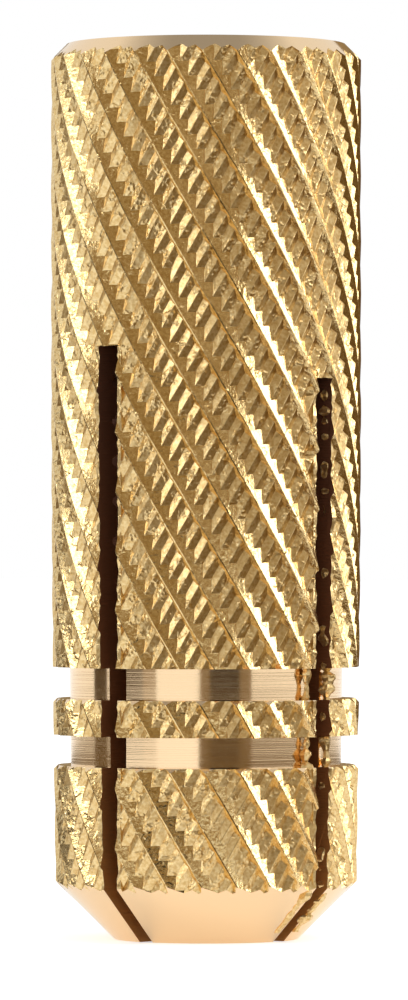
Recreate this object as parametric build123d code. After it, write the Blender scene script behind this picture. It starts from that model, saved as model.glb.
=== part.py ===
from build123d import *
import os
from math import radians, sin, sqrt

# Brass expansion anchor for an M10 screw and a 12 mm hole: one sleeve, turned, knurled,
# tapped and sawn from brass bar. Millimetres. The axis is Z. The nose stands on Z = 0 and
# the threaded mouth faces up. The outer radius is that of the knurl's crests.

# Turned outside
LENGTH = 34.0
KNURL_RADIUS = 5.9              # 0.1 clear of the wall of a 12 mm hole
MOUTH_CHAMFER = 0.6
NOSE_CHAMFER = 2.2

# The two grooves near the nose, with a ring of knurl left between them
GROOVE_FLOOR_RADIUS = 5.25
UPPER_GROOVE_TOP = 10.33
UPPER_GROOVE_BOTTOM = 9.14
LOWER_GROOVE_TOP = 7.76
LOWER_GROOVE_BOTTOM = 6.61
SHOULDER_BEVEL = 0.15           # on the shoulder below each groove

# Bore: M10 x 1.5 thread in the upper part, then a taper that the screw wedges open
TAPPING_RADIUS = 4.25
COUNTERSINK_RADIUS = 5.0
THREAD_END_HEIGHT = 14.0
NOSE_BORE_RADIUS = 2.6

# Two saw cuts straight across the nose leave four fingers
SLOT_WIDTH = 0.92
SAW_RADIUS = 31.5
DEEP_SLOT_HEIGHT = 22.4         # where the cut that runs along Y leaves the outside
SHALLOW_SLOT_HEIGHT = 21.2      # the same for the cut that runs along X

# After sawing, the fingers are pressed in so that the nose enters the hole easily
NOSE_PRESS = 0.20
HINGE_HEIGHT = SHALLOW_SLOT_HEIGHT
FINGER_HALF_ANGLE = 45.0

# Room that a cutting tool takes beyond the work
TOOL_CLEARANCE = 1.0

NODE = "anchor_sleeve"


def pressed_in(height):
    """Inward travel of a finger at this height, bent like a beam held at its root."""
    reach = max(0.0, HINGE_HEIGHT - height) / HINGE_HEIGHT
    return NOSE_PRESS * reach**2 * (3.0 - reach) / 2.0


def after_pressing(outline):
    """The same (radius, height) outline once the fingers are pressed in."""
    return [(radius - pressed_in(height), height) for radius, height in outline]


def groove(top, bottom):
    """Outline of one groove, going up: bevelled shoulder, floor, square shoulder."""
    return [
        (KNURL_RADIUS, bottom - SHOULDER_BEVEL),
        (KNURL_RADIUS - SHOULDER_BEVEL, bottom),
        (GROOVE_FLOOR_RADIUS, bottom),
        (GROOVE_FLOOR_RADIUS, top),
        (KNURL_RADIUS, top),
    ]


def sleeve_section():
    """Half section of the sleeve, right of the axis."""
    outside = [
        (KNURL_RADIUS - NOSE_CHAMFER, 0.0),
        (KNURL_RADIUS, NOSE_CHAMFER),
        *groove(LOWER_GROOVE_TOP, LOWER_GROOVE_BOTTOM),
        *groove(UPPER_GROOVE_TOP, UPPER_GROOVE_BOTTOM),
        (KNURL_RADIUS, HINGE_HEIGHT),
        (KNURL_RADIUS, LENGTH - MOUTH_CHAMFER),
        (KNURL_RADIUS - MOUTH_CHAMFER, LENGTH),
    ]
    bore = [
        (COUNTERSINK_RADIUS, LENGTH),
        (TAPPING_RADIUS, LENGTH - (COUNTERSINK_RADIUS - TAPPING_RADIUS)),
        (TAPPING_RADIUS, HINGE_HEIGHT),
        (TAPPING_RADIUS, THREAD_END_HEIGHT),
        (NOSE_BORE_RADIUS, 0.0),
    ]
    outline = after_pressing(outside + bore)
    return make_face(Plane.XZ * Polyline(*outline, close=True))


def saw_cut(height):
    """The space one saw cut leaves: its walls lean together, its end is the saw's arc.

    The cut runs along Y. Its end meets the outside of the sleeve at the given height.
    """
    lean = sin(radians(FINGER_HALF_ANGLE))
    half_widths = [
        (SLOT_WIDTH / 2.0 - lean * pressed_in(station), station)
        for station in (0.0, THREAD_END_HEIGHT / 2.0, THREAD_END_HEIGHT, HINGE_HEIGHT)
    ]
    nose_half_width = half_widths[0][0]
    one_side = [
        (nose_half_width, -TOOL_CLEARANCE),
        *half_widths,
        (SLOT_WIDTH / 2.0, LENGTH),
    ]
    other_side = [(-half_width, station) for half_width, station in reversed(one_side)]
    width_section = make_face(Plane.XZ * Polyline(*one_side, *other_side, close=True))
    slab = extrude(width_section, KNURL_RADIUS + TOOL_CLEARANCE, both=True)

    saw_centre = height - sqrt(SAW_RADIUS**2 - KNURL_RADIUS**2)
    saw = Pos(0.0, 0.0, saw_centre) * Rot(0.0, 90.0, 0.0) * Cylinder(SAW_RADIUS, SLOT_WIDTH)
    return slab & saw


def anchor_sleeve():
    turned = revolve(sleeve_section(), Axis.Z)
    along_y = saw_cut(DEEP_SLOT_HEIGHT)
    along_x = Rot(0.0, 0.0, 90.0) * saw_cut(SHALLOW_SLOT_HEIGHT)
    return turned - along_y - along_x


os.makedirs("parts", exist_ok=True)
export_step(anchor_sleeve(), f"parts/{NODE}.step")
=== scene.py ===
import math

import bpy
import numpy as np
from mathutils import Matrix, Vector, noise


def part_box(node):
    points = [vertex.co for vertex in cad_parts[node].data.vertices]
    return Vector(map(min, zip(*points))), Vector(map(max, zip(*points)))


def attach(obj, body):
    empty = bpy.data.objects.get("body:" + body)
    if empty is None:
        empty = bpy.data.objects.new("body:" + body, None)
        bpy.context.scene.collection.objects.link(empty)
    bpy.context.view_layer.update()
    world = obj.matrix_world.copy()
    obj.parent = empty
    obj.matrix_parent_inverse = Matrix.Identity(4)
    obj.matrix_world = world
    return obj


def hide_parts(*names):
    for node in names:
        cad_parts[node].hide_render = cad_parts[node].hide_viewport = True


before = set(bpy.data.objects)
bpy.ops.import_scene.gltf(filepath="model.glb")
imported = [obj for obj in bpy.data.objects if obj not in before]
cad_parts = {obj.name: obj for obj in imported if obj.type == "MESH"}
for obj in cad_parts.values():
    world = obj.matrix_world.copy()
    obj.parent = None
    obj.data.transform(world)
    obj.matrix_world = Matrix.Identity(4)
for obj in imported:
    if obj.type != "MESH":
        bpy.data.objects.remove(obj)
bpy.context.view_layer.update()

# ---------------------------------------------------------------------------
# The brass expansion anchor, made in the order its maker makes it: knurl the bar, turn it, bore and
# tap it, saw it, and press the fingers in. Shop sizes are in millimetres, and MM turns them into
# metres where a mesh is made. The axis is Z. The nose stands on Z = 0 and the mouth faces up.
# ---------------------------------------------------------------------------
MM = 0.001
FULL_TURN = 2.0 * math.pi

SLEEVE_LOW, SLEEVE_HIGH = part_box("anchor_sleeve")
LENGTH = (SLEEVE_HIGH.z - SLEEVE_LOW.z) / MM
CREST_RADIUS = (SLEEVE_HIGH.x - SLEEVE_LOW.x) / 2.0 / MM

# Knurl: a coarse family of ridges runs down to the right. Their tops lean left, so that each has a
# steep left flank and a long right one. The wheel that rolled the other family tracked double, so
# that one is half the pitch and lies a little lower.
KNURL_LEAD = 62.4               # height in which a ridge would go once round
COARSE_RIDGES = 28
COARSE_DEPTH = 0.28
COARSE_LAND = 0.05
COARSE_RUNS = (0.16, 0.64)      # widths of the left and right flanks
COARSE_PHASE = math.radians(-51.8)  # of one crest, at KNURL_PHASE_HEIGHT
FINE_RIDGES = 57
FINE_DEPTH = 0.14
FINE_LAND = 0.03
FINE_RUNS = (0.30, 0.30)
FINE_DROP = 0.10                # how far the fine crests lie below the coarse ones
FINE_PHASE = math.radians(-51.6)
KNURL_PHASE_HEIGHT = 33.4
KNURL_STEP = 0.5                # height of one row of facets

# Turned outline, as in the solid
MOUTH_CHAMFER = 0.6
NOSE_CHAMFER = 2.2
GROOVE_FLOOR_RADIUS = 5.25
UPPER_GROOVE = (9.14, 10.33)
LOWER_GROOVE = (6.61, 7.76)
SHOULDER_BEVEL = 0.15
TURNED_FACETS = 256

# Bore and M10 x 1.5 thread
THREAD_PITCH = 1.5
MINOR_RADIUS = 4.19
MAJOR_RADIUS = 5.0
THREAD_ROOT_WIDTH = THREAD_PITCH / 8.0
THREAD_SLOPE = math.tan(math.radians(30.0))
THREAD_END_HEIGHT = 14.0
COUNTERSINK_RADIUS = 5.05
NOSE_BORE_RADIUS = 2.6
BORE_FACETS = 128
TAP_OVERLAP = 0.15              # how far the tap's coil starts inside the bore's wall
TURN_FACETS = 48                # of the thread, per turn

# Saw cuts
SLOT_WIDTH = 0.92
SAW_RADIUS = 31.5
DEEP_SLOT_HEIGHT = 22.4
SHALLOW_SLOT_HEIGHT = 21.2
SAW_ARC_POINTS = 13

# Unevenness: how far things wander, and over what length
WANDER = 0.03                   # of the knurl's points
WANDER_SIZE = 0.22
WANDER_SEED = 1                 # the noise would else be set by the clock
EDGE_WANDER_SIZE = 0.6          # along the edges of the cuts

# Metal smeared into the knurl's valleys along the edges of both cuts
RIB_WIDTH = 0.16
RIB_STEP = 0.2
RIB_REACH = 5.74                # radius of its outside
RIB_WANDER_OUT = 0.09
RIB_WANDER_ACROSS = 0.10
RIB_SEED = (3.1, 5.3)           # keeps the four edges from wandering alike

# Crumbs of torn metal left along the edges of the shallow cut
BURR_STEP = 0.12
BURR_START = 0.36               # height of the lowest crumb
BURR_FACETS = 7
BURR_SMALLEST = 0.15            # as a share of BURR_SIZE
BURR_SIZE = 0.50                # radius that the noise would give at its very top
LARGEST_BURR = 0.36
BURR_WANDER_SIZE = 0.40
BURR_REACH = 5.42               # radius of the row's middle
BURR_DRIFT_OUT = 0.1
BURR_DRIFT_ACROSS = 0.12
BURR_SETBACK = 0.2              # of the row's middle from the cut's wall
BURR_SINK = 0.05                # of the row's middle below the nose chamfer
LUMP_SEED = (7.3, 0.4)
DRIFT_SEED = (1.9, 4.7)

# Fingers, pressed in
NOSE_PRESS = 0.20
HINGE_HEIGHT = SHALLOW_SLOT_HEIGHT

SHARP_ANGLE = math.radians(12.0)  # edges sharper than this stay crisp

OVERSHOOT = 1.0                 # how far a tool runs past the work


# ---------------------------------------------------------------------------
# Shop tools
# ---------------------------------------------------------------------------
def stacked(name, rings, material):
    """A closed solid through a stack of rings, each a list of points in millimetres."""
    count = len(rings[0])
    points = [tuple(MM * value for value in point) for ring in rings for point in ring]
    faces = []
    for low in range(0, count * (len(rings) - 1), count):
        for here in range(count):
            there = (here + 1) % count
            faces.append((low + here, low + there, low + count + there, low + count + here))
    last = count * (len(rings) - 1)
    faces.append(tuple(reversed(range(count))))
    faces.append(tuple(range(last, last + count)))
    mesh = bpy.data.meshes.new(name)
    mesh.from_pydata(points, [], faces)
    mesh.materials.append(material)
    solid = bpy.data.objects.new(name, mesh)
    bpy.context.scene.collection.objects.link(solid)
    return solid


def machine(work, operation, tool):
    """Work after the tool has been joined to it, kept to or cut from it. The tool is used up."""
    boolean = work.modifiers.new("machining", "BOOLEAN")
    boolean.operation = operation
    boolean.solver = "MANIFOLD"
    boolean.material_mode = "TRANSFER"
    boolean.object = tool
    ready = work.evaluated_get(bpy.context.evaluated_depsgraph_get())
    result = bpy.data.meshes.new_from_object(ready)
    work.modifiers.remove(boolean)
    work.data = result
    bpy.data.objects.remove(tool)


def polar(radius, angle, height):
    return (radius * math.cos(angle), radius * math.sin(angle), height)


def turned(name, outline, facets, material):
    """A round solid with this (radius, height) outline, from the bottom up."""
    rings = [
        [polar(radius, FULL_TURN * step / facets, height) for step in range(facets)]
        for radius, height in outline
    ]
    return stacked(name, rings, material)


# ---------------------------------------------------------------------------
# The sleeve
# ---------------------------------------------------------------------------
def ridged_bar(name, ridges, crest_radius, depth, land, runs, hand, phase, material):
    """A bar with helical ridges. Runs are the widths of a ridge's left and right flanks. Hand is 1
    where the ridges climb to the right."""
    rows = round((LENGTH + 2.0 * OVERSHOOT) / KNURL_STEP)
    half_land = land / 2.0 / crest_radius
    left_foot, right_foot = (half_land + run / crest_radius for run in runs)
    rings = []
    for row in range(rows + 1):
        height = -OVERSHOOT + row * KNURL_STEP
        turn = phase + hand * FULL_TURN * (height - KNURL_PHASE_HEIGHT) / KNURL_LEAD
        ring = []
        for ridge in range(ridges):
            crest = turn + FULL_TURN * ridge / ridges
            ring.append(polar(crest_radius, crest - half_land, height))
            ring.append(polar(crest_radius, crest + half_land, height))
            ring.append(polar(crest_radius - depth, crest + right_foot, height))
            ring.append(polar(crest_radius - depth, crest + FULL_TURN / ridges - left_foot, height))
        rings.append(ring)
    return stacked(name, rings, material)


def outside_outline():
    """What the lathe leaves: chamfers and grooves. It stands clear of the knurl between them."""
    clear = CREST_RADIUS + OVERSHOOT
    outline = [
        (CREST_RADIUS - NOSE_CHAMFER, 0.0),
        (clear, NOSE_CHAMFER + OVERSHOOT),
    ]
    for bottom, top in (LOWER_GROOVE, UPPER_GROOVE):
        outline += [
            (clear, bottom - SHOULDER_BEVEL - OVERSHOOT),
            (CREST_RADIUS - SHOULDER_BEVEL, bottom),
            (GROOVE_FLOOR_RADIUS, bottom),
            (GROOVE_FLOOR_RADIUS, top),
            (clear, top),
        ]
    outline += [
        (clear, LENGTH - MOUTH_CHAMFER - OVERSHOOT),
        (CREST_RADIUS - MOUTH_CHAMFER, LENGTH),
    ]
    return outline


def bore_outline():
    countersink_depth = COUNTERSINK_RADIUS - MINOR_RADIUS
    return [
        (NOSE_BORE_RADIUS, -OVERSHOOT),
        (NOSE_BORE_RADIUS, 0.0),
        (MINOR_RADIUS, THREAD_END_HEIGHT),
        (MINOR_RADIUS, LENGTH - countersink_depth),
        (COUNTERSINK_RADIUS + OVERSHOOT, LENGTH + OVERSHOOT),
    ]


def tap_thread(material):
    """The coil of metal that the tap takes out."""
    inner_radius = MINOR_RADIUS - TAP_OVERLAP
    half_root = THREAD_ROOT_WIDTH / 2.0
    half_mouth = half_root + (MAJOR_RADIUS - inner_radius) * THREAD_SLOPE
    section = [
        (inner_radius, half_mouth),
        (MAJOR_RADIUS, half_root),
        (MAJOR_RADIUS, -half_root),
        (inner_radius, -half_mouth),
    ]
    turns = (LENGTH + OVERSHOOT - THREAD_END_HEIGHT) / THREAD_PITCH
    rings = []
    for step in range(round(turns * TURN_FACETS) + 1):
        angle = FULL_TURN * step / TURN_FACETS
        middle = THREAD_END_HEIGHT + THREAD_PITCH * step / TURN_FACETS
        rings.append([polar(radius, angle, middle + offset) for radius, offset in section])
    return stacked("tap", rings, material)


def saw_cut(name, height, angle, material):
    """The slab that the slotting saw takes out, straight across the sleeve at this angle."""
    centre = height - math.sqrt(SAW_RADIUS**2 - CREST_RADIUS**2)
    reach = CREST_RADIUS + OVERSHOOT
    side = [(-reach, -OVERSHOOT), (reach, -OVERSHOOT)]
    for step in range(SAW_ARC_POINTS):
        along = reach - 2.0 * reach * step / (SAW_ARC_POINTS - 1)
        side.append((along, centre + math.sqrt(SAW_RADIUS**2 - along**2)))
    cosine, sine = math.cos(angle), math.sin(angle)
    rings = []
    for across in (SLOT_WIDTH / 2.0, -SLOT_WIDTH / 2.0):
        rings.append([
            (along * cosine - across * sine, along * sine + across * cosine, up)
            for along, up in side
        ])
    return stacked(name, rings, material)


def sawn_edge_rib(name, top, angle, reach, material):
    """Metal that the saw smears into the knurl's valleys along both edges of a cut."""
    half_width = SLOT_WIDTH / 2.0 + RIB_WIDTH
    cosine, sine = math.cos(angle), math.sin(angle)
    rings = []
    for row in range(round(top / RIB_STEP) + 1):
        height = row * RIB_STEP
        ring = []
        for along, across in ((-1, 1), (-1, -1), (1, -1), (1, 1)):
            seed = (RIB_SEED[0] * along, RIB_SEED[1] * across)
            wander = noise.noise(Vector((*seed, height / EDGE_WANDER_SIZE)))
            out = along * (reach + RIB_WANDER_OUT * wander)
            side = across * (half_width + RIB_WANDER_ACROSS * wander)
            ring.append((out * cosine - side * sine, out * sine + side * cosine, height))
        rings.append(ring)
    return stacked(name, rings, material)


def burr(name, side, top, material):
    """A row of torn crumbs along one edge of the shallow cut, from the nose chamfer to its root."""
    rings = []
    for row in range(round((top - BURR_START) / BURR_STEP) + 1):
        height = BURR_START + row * BURR_STEP
        lump = noise.noise(Vector((LUMP_SEED[0] * side, LUMP_SEED[1], height / BURR_WANDER_SIZE)))
        drift = noise.noise(Vector((DRIFT_SEED[0], DRIFT_SEED[1] * side, height / EDGE_WANDER_SIZE)))
        share = BURR_SMALLEST + (1.0 - BURR_SMALLEST) * abs(lump)
        size = min(BURR_SIZE * share, LARGEST_BURR)
        chamfer_radius = CREST_RADIUS - NOSE_CHAMFER + height
        out = min(BURR_REACH + BURR_DRIFT_OUT * drift, chamfer_radius - BURR_SINK)
        across = side * (SLOT_WIDTH / 2.0 + BURR_SETBACK) + BURR_DRIFT_ACROSS * drift
        rings.append([
            (out + size * math.cos(turn), across + size * math.sin(turn), height)
            for turn in (FULL_TURN * step / BURR_FACETS for step in range(BURR_FACETS))
        ])
    return stacked(name, rings, material)


def pressed_in(height):
    """Inward travel of a finger at this height, bent like a beam held at its root."""
    reach = np.clip((HINGE_HEIGHT - height) / HINGE_HEIGHT, 0.0, 1.0)
    return NOSE_PRESS * reach**2 * (3.0 - reach) / 2.0


def roughen(sleeve, slots):
    """Uneven ridges: the knurl's own points wander a little, inward only."""
    noise.seed_set(WANDER_SEED)
    mesh = sleeve.data
    knurl_faces = (face for face in mesh.polygons if face.material_index in slots)
    knurl_points = {index for face in knurl_faces for index in face.vertices}
    for index in sorted(knurl_points):
        point = mesh.vertices[index].co
        wander = noise.noise_vector(point / (WANDER_SIZE * MM)) * (WANDER * MM)
        radius = math.hypot(point.x, point.y)
        moved = point + wander
        shrink = min(1.0, radius / math.hypot(moved.x, moved.y))
        point.x, point.y = moved.x * shrink, moved.y * shrink
    mesh.update()


def press_fingers(sleeve):
    mesh = sleeve.data
    points = np.zeros(3 * len(mesh.vertices), np.float32)
    mesh.vertices.foreach_get("co", points)
    points = points.reshape(-1, 3)
    # Each finger moves along its own diagonal, so by this much along X and along Y
    travel = MM * pressed_in(points[:, 2] / MM) * math.sqrt(0.5)
    points[:, 0] -= np.sign(points[:, 0]) * travel
    points[:, 1] -= np.sign(points[:, 1]) * travel
    mesh.vertices.foreach_set("co", points.ravel())
    mesh.update()


def round_normals(sleeve, turned_slots):
    """Turned faces shade as round: each corner's normal points away from the axis by its own
    azimuth. The other faces shade flat between sharp edges."""
    mesh = sleeve.data
    mesh.shade_smooth()
    mesh.set_sharp_from_angle(angle=SHARP_ANGLE)
    normals = [corner.vector.copy() for corner in mesh.corner_normals]
    for face in mesh.polygons:
        if face.material_index not in turned_slots:
            continue
        flat = face.normal
        centre = face.center
        outward = math.copysign(math.hypot(flat.x, flat.y), flat.x * centre.x + flat.y * centre.y)
        for corner in face.loop_indices:
            place = mesh.vertices[mesh.loops[corner].vertex_index].co
            away = Vector((place.x, place.y, 0.0)).normalized()
            normals[corner] = (outward * away + Vector((0.0, 0.0, flat.z))).normalized()
    mesh.normals_split_custom_set(normals)


def anchor_sleeve(knurled, torn, turned_bright, sawn, tapped):
    sleeve = ridged_bar("anchor_sleeve_finished", COARSE_RIDGES, CREST_RADIUS, COARSE_DEPTH, COARSE_LAND,
                        COARSE_RUNS, -1, COARSE_PHASE, knurled)
    machine(sleeve, "UNION", ridged_bar("fine_ridges", FINE_RIDGES, CREST_RADIUS - FINE_DROP, FINE_DEPTH,
                                        FINE_LAND, FINE_RUNS, 1, FINE_PHASE, torn))
    for top, angle in ((DEEP_SLOT_HEIGHT, math.pi / 2.0), (SHALLOW_SLOT_HEIGHT, 0.0)):
        machine(sleeve, "UNION", sawn_edge_rib("rib", top, angle, RIB_REACH, torn))
    machine(sleeve, "INTERSECT", turned("lathe", outside_outline(), TURNED_FACETS, turned_bright))
    machine(sleeve, "DIFFERENCE", turned("drill", bore_outline(), BORE_FACETS, turned_bright))
    machine(sleeve, "DIFFERENCE", tap_thread(tapped))
    machine(sleeve, "DIFFERENCE", saw_cut("deep_saw", DEEP_SLOT_HEIGHT, math.pi / 2.0, sawn))
    machine(sleeve, "DIFFERENCE", saw_cut("shallow_saw", SHALLOW_SLOT_HEIGHT, 0.0, sawn))
    for side in (-1.0, 1.0):
        machine(sleeve, "UNION", burr("burr", side, SHALLOW_SLOT_HEIGHT, torn))
    slots = {material.name: slot for slot, material in enumerate(sleeve.data.materials)}
    roughen(sleeve, {slots[knurled.name], slots[torn.name]})
    press_fingers(sleeve)
    round_normals(sleeve, {slots[turned_bright.name]})
    return sleeve


# ---------------------------------------------------------------------------
# Finishes
# ---------------------------------------------------------------------------
def colour(hex_value):
    """An sRGB hex colour as linear red, green, blue, alpha."""
    channels = [int(hex_value[start:start + 2], 16) / 255.0 for start in (1, 3, 5)]
    linear = [c / 12.92 if c <= 0.04045 else ((c + 0.055) / 1.055) ** 2.4 for c in channels]
    return (*linear, 1.0)


def add(tree, kind, settings=None, links=None, **properties):
    """Adds a node with its properties, its input values and its links from other sockets."""
    node = tree.nodes.new(kind)
    for name, value in properties.items():
        setattr(node, name, value)
    for socket, value in (settings or {}).items():
        node.inputs[socket].default_value = value
    for socket, source in (links or {}).items():
        tree.links.new(source, node.inputs[socket])
    return node


def empty_material(name):
    material = bpy.data.materials.new(name)
    material.use_nodes = True
    material.node_tree.nodes.clear()
    return material, material.node_tree


def per_mm(size):
    """The texture scale at which a pattern has this size in millimetres."""
    return 1.0 / (size * MM)


def finish_material(tree, shader):
    add(tree, "ShaderNodeOutputMaterial", links={"Surface": shader.outputs[0]})


def knurled_brass(name, tear_depth, roughness):
    """Brass under the knurling wheels: mottled gold, torn here and there into specks and pits."""
    material, tree = empty_material(name)
    place = add(tree, "ShaderNodeTexCoord").outputs["Object"]
    grain = add(tree, "ShaderNodeTexNoise", {"Scale": per_mm(0.12), "Detail": 4.0}, {"Vector": place})
    tint = add(tree, "ShaderNodeValToRGB", links={"Fac": grain.outputs["Fac"]})
    tint.color_ramp.elements[0].position = 0.35
    tint.color_ramp.elements[0].color = colour("#DCB878")
    tint.color_ramp.elements[1].position = 0.65
    tint.color_ramp.elements[1].color = colour("#F6DCA4")
    drag = add(tree, "ShaderNodeTexNoise", {"Scale": per_mm(0.14), "Detail": 4.0}, {"Vector": place})
    grainy = add(tree, "ShaderNodeBump", {"Strength": 1.0, "Distance": 0.012 * MM},
                 {"Height": drag.outputs["Fac"]})
    chips = add(tree, "ShaderNodeTexVoronoi", {"Scale": per_mm(0.16)}, {"Vector": place})
    patches = add(tree, "ShaderNodeTexNoise", {"Scale": per_mm(0.45), "Detail": 2.0}, {"Vector": place})
    torn = add(tree, "ShaderNodeMapRange", {"From Min": 0.52, "From Max": 0.66},
               {"Value": patches.outputs["Fac"]})
    depth = add(tree, "ShaderNodeMath", links={0: chips.outputs["Distance"], 1: torn.outputs[0]},
                operation="MULTIPLY")
    bump = add(tree, "ShaderNodeBump", {"Strength": 1.0, "Distance": tear_depth * MM},
               {"Height": depth.outputs[0], "Normal": grainy.outputs["Normal"]})
    shader = add(tree, "ShaderNodeBsdfPrincipled", {"Metallic": 1.0, "Roughness": roughness},
                 {"Base Color": tint.outputs["Color"], "Normal": bump.outputs["Normal"]})
    finish_material(tree, shader)
    return material


def rolled_brass():
    """Brass, rolled: the coarse ridges' long flanks, clean enough to flash white."""
    return knurled_brass("rolled_brass", 0.015, 0.2)


def torn_brass():
    """Brass, torn: the fine ridges and the burrs, duller, with glints and dark pits."""
    return knurled_brass("torn_brass", 0.045, 0.34)


def turned_brass():
    """Brass, turned: bright and pale, with the fine rings of the tool."""
    material, tree = empty_material("turned_brass")
    place = add(tree, "ShaderNodeTexCoord").outputs["Object"]
    split = add(tree, "ShaderNodeSeparateXYZ", links={"Vector": place})
    flat = add(tree, "ShaderNodeVectorMath", {1: (1.0, 1.0, 0.0)}, {0: place}, operation="MULTIPLY")
    radius = add(tree, "ShaderNodeVectorMath", links={0: flat.outputs[0]}, operation="LENGTH")
    # Height less radius runs along every turned face, so its rings follow the tool's feed
    along = add(tree, "ShaderNodeMath", links={0: split.outputs["Z"], 1: radius.outputs["Value"]},
                operation="SUBTRACT")
    rings = add(tree, "ShaderNodeTexNoise", {"Scale": per_mm(0.05), "Detail": 2.0},
                {"W": along.outputs[0]}, noise_dimensions="1D")
    marks = add(tree, "ShaderNodeMapRange", {"From Min": 0.35, "From Max": 0.45},
                {"Value": rings.outputs["Fac"]})
    bump = add(tree, "ShaderNodeBump", {"Strength": 0.35, "Distance": 0.0012 * MM},
               {"Height": marks.outputs[0]})
    bright = {"Base Color": colour("#F8D9AE"), "Metallic": 1.0, "Roughness": 0.1}
    shader = add(tree, "ShaderNodeBsdfPrincipled", bright, {"Normal": bump.outputs["Normal"]})
    finish_material(tree, shader)
    return material


def sawn_brass():
    """Brass, sawn: walls painted a dull brown as painted shade inside the cut, lighter and warmer towards
    the nose where the cut opens, darkest at its root, with the saw's fine level marks.
    """
    material, tree = empty_material("sawn_brass")
    place = add(tree, "ShaderNodeTexCoord").outputs["Object"]
    height = add(tree, "ShaderNodeSeparateXYZ", links={"Vector": place}).outputs["Z"]
    painted_root_shade = add(tree, "ShaderNodeMapRange", {"From Min": 0.0, "From Max": SHALLOW_SLOT_HEIGHT * MM},
                 {"Value": height})
    # Painted shade: the wall's colour darkens from the nose up to the cut's root, standing in for the
    # shade inside the cut
    tint = add(tree, "ShaderNodeValToRGB", links={"Fac": painted_root_shade.outputs[0]})
    tint.color_ramp.elements[0].position = 0.0
    tint.color_ramp.elements[0].color = colour("#C88C48")
    tint.color_ramp.elements[1].position = 1.0
    tint.color_ramp.elements[1].color = colour("#6E4632")
    middle = tint.color_ramp.elements.new(0.35)
    middle.color = colour("#8C5530")
    teeth = add(tree, "ShaderNodeTexNoise", {"Scale": per_mm(0.08), "Detail": 3.0}, {"W": height},
                noise_dimensions="1D")
    bump = add(tree, "ShaderNodeBump", {"Strength": 0.8, "Distance": 0.02 * MM},
               {"Height": teeth.outputs["Fac"]})
    shader = add(tree, "ShaderNodeBsdfPrincipled", {"Metallic": 0.55, "Roughness": 0.45},
                 {"Base Color": tint.outputs["Color"], "Normal": bump.outputs["Normal"]})
    finish_material(tree, shader)
    return material


def tapped_brass():
    """Brass, tapped: thread flanks a little dull from the cutting oil, scored by the tap's teeth."""
    material, tree = empty_material("tapped_brass")
    place = add(tree, "ShaderNodeTexCoord").outputs["Object"]
    scores = add(tree, "ShaderNodeTexNoise", {"Scale": per_mm(0.1), "Detail": 3.0}, {"Vector": place})
    bump = add(tree, "ShaderNodeBump", {"Strength": 0.6, "Distance": 0.006 * MM},
               {"Height": scores.outputs["Fac"]})
    oil = add(tree, "ShaderNodeTexNoise", {"Scale": per_mm(1.2), "Detail": 2.0}, {"Vector": place})
    dull = add(tree, "ShaderNodeMapRange", {"To Min": 0.24, "To Max": 0.4}, {"Value": oil.outputs["Fac"]})
    shader = add(tree, "ShaderNodeBsdfPrincipled", {"Base Color": colour("#E2BE7A"), "Metallic": 1.0},
                 {"Normal": bump.outputs["Normal"], "Roughness": dull.outputs[0]})
    finish_material(tree, shader)
    return material


# ---------------------------------------------------------------------------
# Floor, light and camera
# ---------------------------------------------------------------------------
VIEW_AZIMUTH = math.radians(39.6)
VIEW_DISTANCE = 266.0
EYE_HEIGHT = 15.0
AIM_HEIGHT = 16.67
AIM_LEFT = 0.08
LENS = 251.7
NEAR_CLIP = 0.01                # metres
FLOOR_SIZE = 4.0                # metres

# Table and tent. The levels are what the metal sees in them, and the camera sees both as white.
TABLE_LIFT = 0.5                # glow added to the sheet for the camera
MIRRORED_LIFT = 0.7             # share of that glow in the metal
CARD_LIFT = 0.4                 # height of a card lying on the table
LOWEST_CARD = 0.5
TENT_LEVELS = (0.88, 0.36)      # round the sides, and overhead
TENT_FADE = (0.8, 0.97)         # between these sines of the height angle


def around(azimuth_deg, distance, height):
    """A place at this azimuth to the right of the view direction, seen from above the sleeve."""
    angle = VIEW_AZIMUTH + math.radians(azimuth_deg)
    return Vector((distance * math.sin(angle), -distance * math.cos(angle), height)) * MM


def face_to(thing, target):
    thing.rotation_euler = (Vector(target) - thing.location).to_track_quat("-Z", "Y").to_euler()


def add_camera():
    camera = bpy.data.objects.new("camera", bpy.data.cameras.new("camera"))
    bpy.context.scene.collection.objects.link(camera)
    camera.location = around(0.0, VIEW_DISTANCE, EYE_HEIGHT)
    left = around(-90.0, AIM_LEFT, 0.0)
    face_to(camera, left + Vector((0.0, 0.0, AIM_HEIGHT * MM)))
    camera.data.lens = LENS
    camera.data.clip_start = NEAR_CLIP
    bpy.context.scene.camera = camera


def add_softbox(name, azimuth, distance, height, size, watts):
    light = bpy.data.lights.new(name, "AREA")
    light.shape = "RECTANGLE"
    light.size, light.size_y = (value * MM for value in size)
    light.energy = watts
    lamp = bpy.data.objects.new(name, light)
    bpy.context.scene.collection.objects.link(lamp)
    lamp.location = around(azimuth, distance, height)
    face_to(lamp, (0.0, 0.0, LENGTH * MM / 2.0))
    lamp.visible_camera = False
    return lamp


def add_card(name, rows, material):
    """A strip between two rows of places. Only the metal's reflections see it."""
    count = len(rows[0])
    mesh = bpy.data.meshes.new(name)
    mesh.from_pydata(rows[0] + rows[1], [],
                     [(i, i + 1, count + i + 1, count + i) for i in range(count - 1)])
    mesh.materials.append(material)
    card = bpy.data.objects.new(name, mesh)
    bpy.context.scene.collection.objects.link(card)
    card.visible_camera = False
    card.visible_shadow = False
    card.visible_diffuse = False


def add_flag(name, azimuths, distance, elevations, material):
    """A card that stands up and curves round the sleeve, between two angles seen from its middle."""
    rows = []
    for elevation in elevations:
        height = max(LENGTH / 2.0 + distance * math.tan(math.radians(elevation)), LOWEST_CARD)
        rows.append([tuple(around(azimuth, distance, height)) for azimuth in np.linspace(*azimuths, 17)])
    add_card(name, rows, material)


def add_table_card(name, azimuths, radii, material):
    """A card that lies on the table round the sleeve."""
    add_card(name, [
        [tuple(around(azimuth, radius, CARD_LIFT)) for azimuth in np.linspace(*azimuths, 73)]
        for radius in radii
    ], material)


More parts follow.
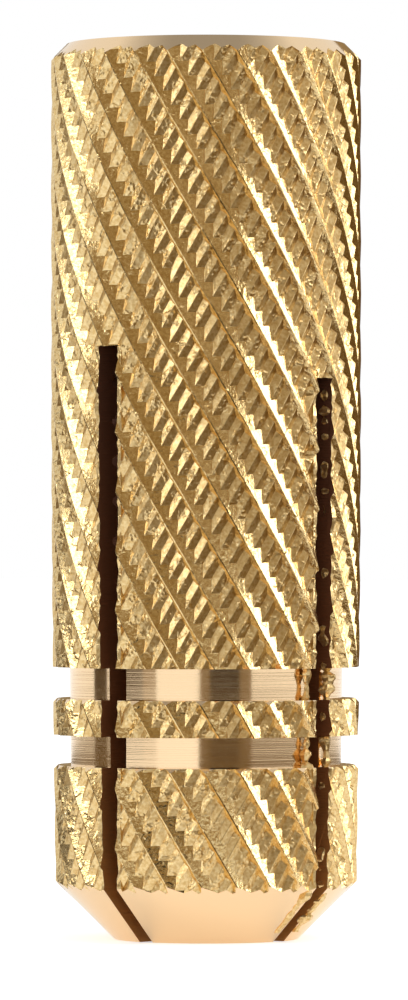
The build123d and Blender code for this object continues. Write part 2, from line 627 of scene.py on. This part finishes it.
def card_material(name, shade, level=1.0):
    material, tree = empty_material(name)
    shader = add(tree, "ShaderNodeEmission", {"Color": colour(shade), "Strength": level})
    finish_material(tree, shader)
    return material


def add_floor():
    """A matt white paper sheet. It glows a little for the camera and the metal, so it reads as white."""
    material, tree = empty_material("white_table")
    rays = add(tree, "ShaderNodeLightPath")
    mirrored = add(tree, "ShaderNodeMath", {1: MIRRORED_LIFT}, {0: rays.outputs["Is Glossy Ray"]},
                   operation="MULTIPLY")
    seen = add(tree, "ShaderNodeMath", links={0: rays.outputs["Is Camera Ray"], 1: mirrored.outputs[0]},
               operation="MAXIMUM")
    lift = add(tree, "ShaderNodeEmission", {"Color": (TABLE_LIFT, TABLE_LIFT, TABLE_LIFT, 1.0)},
               {"Strength": seen.outputs[0]})
    sheet = add(tree, "ShaderNodeBsdfDiffuse", {"Color": colour("#F4F4F4")})
    shader = add(tree, "ShaderNodeAddShader", links={0: lift.outputs[0], 1: sheet.outputs[0]})
    finish_material(tree, shader)
    half = FLOOR_SIZE / 2.0
    corners = [(-half, -half, 0.0), (half, -half, 0.0), (half, half, 0.0), (-half, half, 0.0)]
    mesh = bpy.data.meshes.new("floor")
    mesh.from_pydata(corners, [], [(0, 1, 2, 3)])
    mesh.materials.append(material)
    floor = bpy.data.objects.new("floor", mesh)
    bpy.context.scene.collection.objects.link(floor)


def add_world():
    """A white tent, dimmer overhead."""
    world = bpy.data.worlds.new("white_tent")
    world.use_nodes = True
    tree = world.node_tree
    tree.nodes.clear()
    rays = add(tree, "ShaderNodeLightPath")
    place = add(tree, "ShaderNodeTexCoord").outputs["Generated"]
    up = add(tree, "ShaderNodeSeparateXYZ", links={"Vector": place}).outputs["Z"]
    fade = {"From Min": TENT_FADE[0], "From Max": TENT_FADE[1],
            "To Min": TENT_LEVELS[0], "To Max": TENT_LEVELS[1]}
    level = add(tree, "ShaderNodeMapRange", fade, {"Value": up})
    seen = add(tree, "ShaderNodeMath", links={0: rays.outputs["Is Camera Ray"], 1: level.outputs[0]},
               operation="MAXIMUM")
    white = add(tree, "ShaderNodeBackground", {"Color": colour("#FFFFFF")}, {"Strength": seen.outputs[0]})
    add(tree, "ShaderNodeOutputWorld", links={"Surface": white.outputs[0]})
    bpy.context.scene.world = world


# ---------------------------------------------------------------------------
# The piece and its scenery
# ---------------------------------------------------------------------------
sleeve = anchor_sleeve(rolled_brass(), torn_brass(), turned_brass(), sawn_brass(), tapped_brass())
bpy.context.scene.view_settings.view_transform = "Standard"
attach(sleeve, "root")
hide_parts("anchor_sleeve")

add_floor()
add_world()
add_camera()
add_softbox("key", 50.0, 250.0, 300.0, (150.0, 150.0), 0.21)

# What the polished metal mirrors: name, shade and level
CARDS = {
    "black_card": ("#100E0C", 1.0),
    "dark_card": ("#4A3D2C", 1.0),
    "brown_card": ("#6E5A3C", 1.0),
    "half_card": ("#8C7A5E", 1.0),
    "dim_card": ("#98815A", 1.0),
    "white_panel": ("#FFFFFF", 4.5),
    "strip_light": ("#FFFFFF", 1.05),
    "bright_panel": ("#FFFFFF", 5.5),
}
cards = {name: card_material(name, shade, level) for name, (shade, level) in CARDS.items()}

# Standing cards: azimuths in degrees to the right of the camera, distance in mm, height angles and
# card. The level ones draw the dark and bright bands in the grooves. The two panels above them
# light the ridges' long flanks, and the front and back cards keep the other facets from glaring.
LEVEL = (-8.0, 16.0)
STANDING_CARDS = {
    "lens_card": ((3.0, 28.0), 200.0, LEVEL, "black_card"),
    "lens_edge_left": ((-5.0, 3.0), 200.0, LEVEL, "half_card"),
    "lens_edge_right": ((28.0, 38.0), 200.0, LEVEL, "half_card"),
    "left_card": ((-88.0, -54.0), 200.0, LEVEL, "dark_card"),
    "left_edge": ((-54.0, -42.0), 200.0, LEVEL, "half_card"),
    "far_left_card": ((-108.0, -91.0), 200.0, LEVEL, "dark_card"),
    "front_strip": ((-42.0, -5.0), 200.0, LEVEL, "strip_light"),
    "front_card": ((-50.0, 83.0), 205.0, (17.0, 46.0), "dim_card"),
    "back_card": ((128.0, 190.0), 190.0, (-2.5, 28.0), "dim_card"),
    "upper_left_box": ((-86.0, -56.0), 210.0, (17.0, 27.0), "white_panel"),
    "back_right_box": ((85.0, 127.0), 220.0, (10.0, 25.0), "bright_panel"),
}
for name, (azimuths, distance, elevations, card) in STANDING_CARDS.items():
    add_flag(name, azimuths, distance, elevations, cards[card])
# The table card leaves the white table open at the left, where it lights the fine ridges
add_table_card("table_card", (-6.0, 282.0), (13.0, 190.0), cards["brown_card"])
